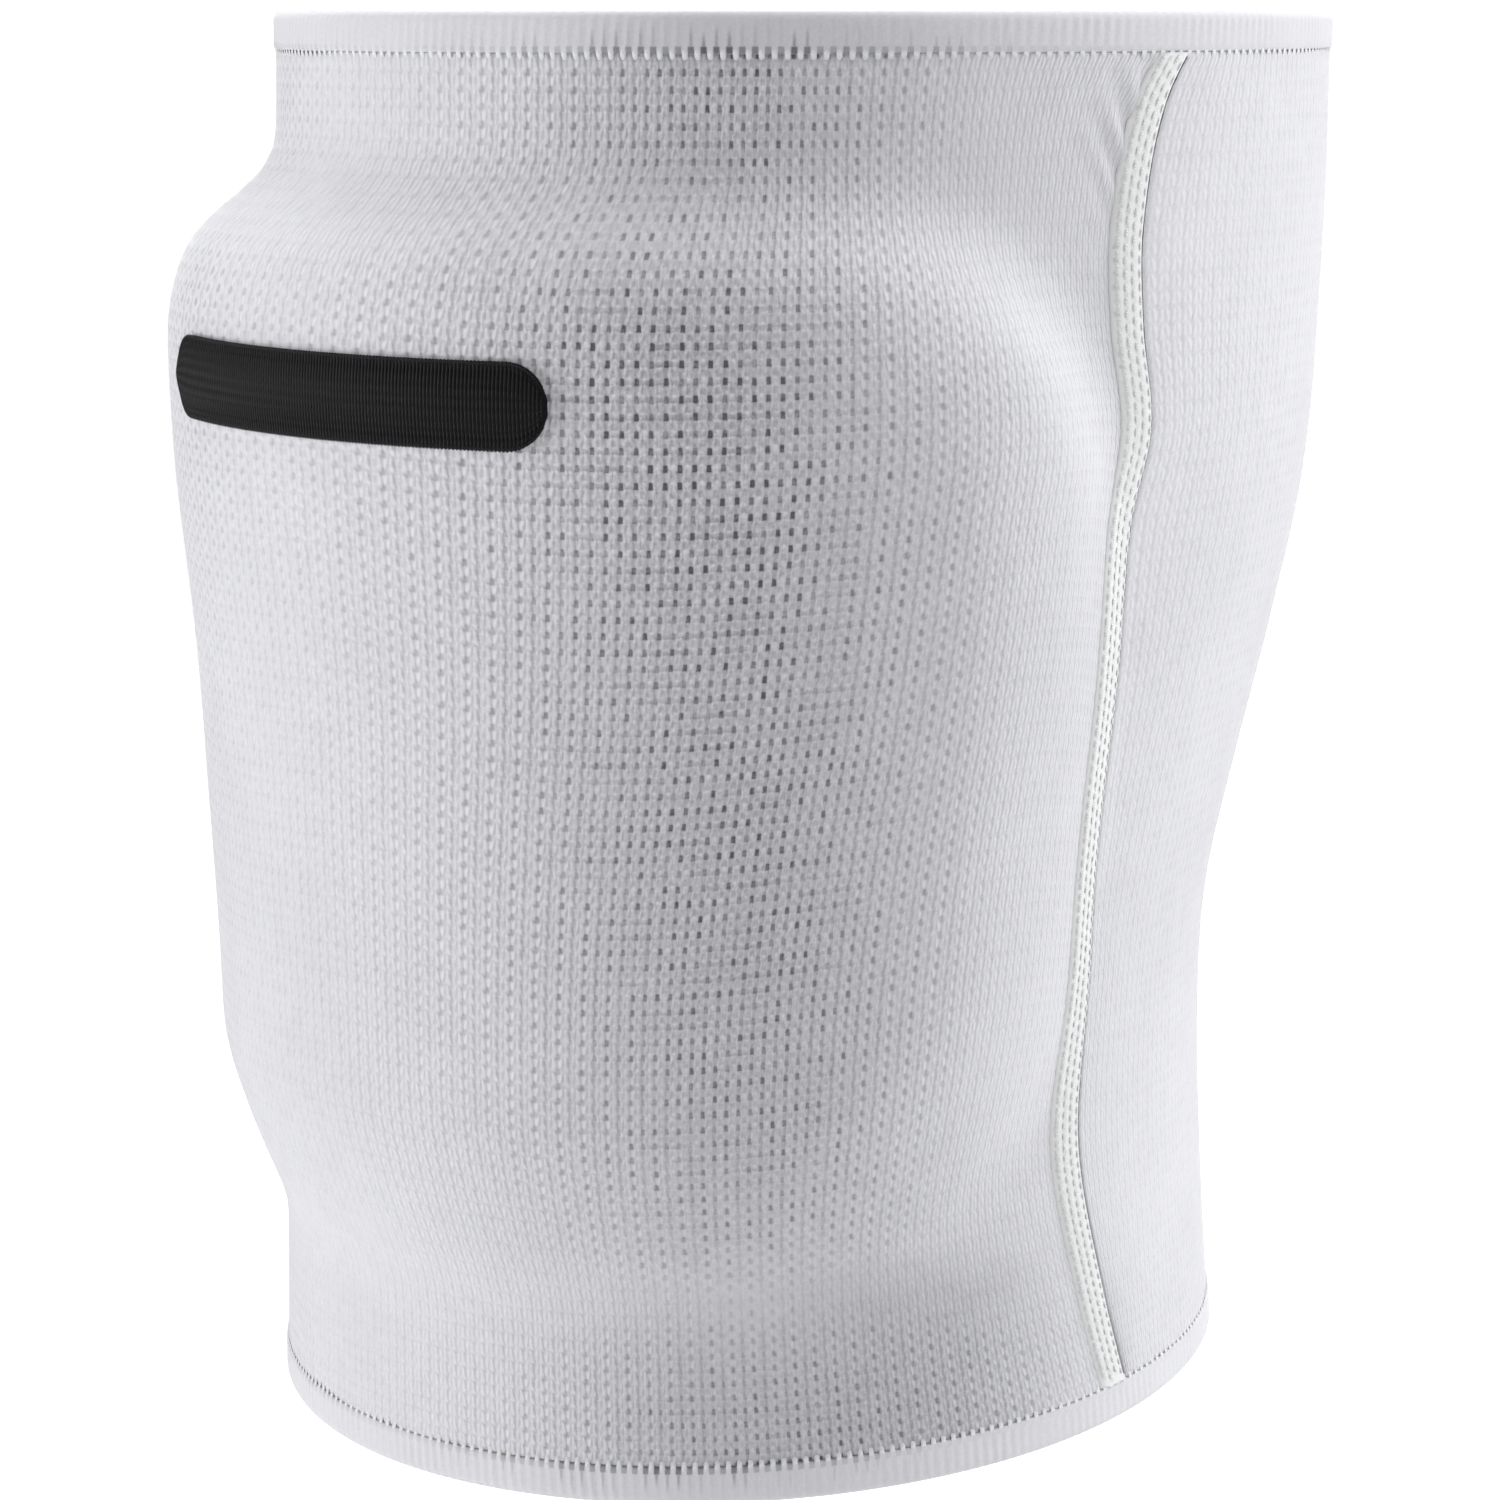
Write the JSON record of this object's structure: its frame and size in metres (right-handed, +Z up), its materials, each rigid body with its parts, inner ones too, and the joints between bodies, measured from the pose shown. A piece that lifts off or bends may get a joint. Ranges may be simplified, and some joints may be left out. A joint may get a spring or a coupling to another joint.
{
  "type": "volleyball knee pad",
  "caption": "Knitted knee sleeve with a foam pad behind its front, raised side seams and folded hems, held in its worn shape.",
  "frame": {"origin": "the middle of the knee, on the leg's axis, inside the sleeve", "axes": "+Z runs up the leg towards the thigh, -Y is the padded front that meets the floor in a dive, +X is the wearer's left"},
  "size_m": [0.1408, 0.1493, 0.1755],
  "materials": {
    "knit": "matte white rib-backed knit, stretched so that small gaps show between its stitches",
    "welt": "matte white doubled knit with fine upright ribs and a line of stitches",
    "seam": "white overlocked threads, slightly shiny",
    "foam": "white knit-faced closed-cell foam",
    "black_thread": "black satin-stitched polyester thread, slightly shiny"
  },
  "bodies": {
    "root": {"front_panel": "knit", "back_panel": "knit", "side_seam_left": "seam", "side_seam_right": "seam", "top_welt": "welt", "bottom_welt": "welt", "foam_pad": "foam", "embroidered_bar": "black_thread"}
  },
  "joints": []
}
